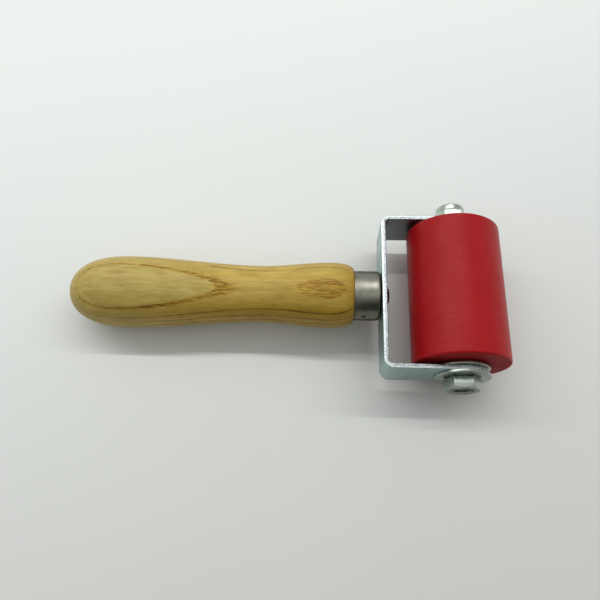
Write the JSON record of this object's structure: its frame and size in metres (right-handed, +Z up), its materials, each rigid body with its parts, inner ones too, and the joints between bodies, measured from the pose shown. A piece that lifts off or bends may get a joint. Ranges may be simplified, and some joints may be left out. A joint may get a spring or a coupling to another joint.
{
  "type": "rubber hand roller",
  "caption": "Rubber-covered hand roller that spins on a bolt in a bent steel strap fork, on a turned wooden handle with a steel ferrule; presses sheet material or prints flat.",
  "frame": {"origin": "on the surface that the tool lies on, under the middle of the roller, where the rubber touches it", "axes": "+X from the handle to the roller, along the surface; +Y along the axle, from the bolt's head to the lock nut; +Z up from the surface"},
  "size_m": [0.1778, 0.0797, 0.0381],
  "materials": {
    "lacquered_ash": "turned ash under clear lacquer, satin gloss, brown grain along its length",
    "satin_steel": "drawn steel, satin",
    "plain_steel": "bare steel, satin",
    "zinc_strap": "clear zinc plate with a cool blue-green cast, semi-gloss",
    "zinc_hardware": "bright zinc plate, semi-gloss",
    "white_nylon": "natural nylon, satin",
    "red_rubber": "ground red rubber, matte",
    "bronze": "sintered bronze, matte"
  },
  "bodies": {
    "frame": {"handle": "lacquered_ash", "ferrule": "satin_steel", "tang": "plain_steel", "fork": "zinc_strap", "axle_bolt": "zinc_hardware", "head_washer": "zinc_hardware", "thrust_washer_near": "zinc_hardware", "thrust_washer_far": "zinc_hardware", "lock_nut": "zinc_hardware", "nut_insert": "white_nylon"},
    "roller": {"roller_sleeve": "red_rubber", "roller_core": "plain_steel", "bush_near": "bronze", "bush_far": "bronze"}
  },
  "joints": [
    {"name": "roller_spin", "type": "hinge", "parent": "frame", "child": "roller", "pos_m": [0, 0, 0.01905], "axis": [0, 1, 0], "continuous": true}
  ]
}
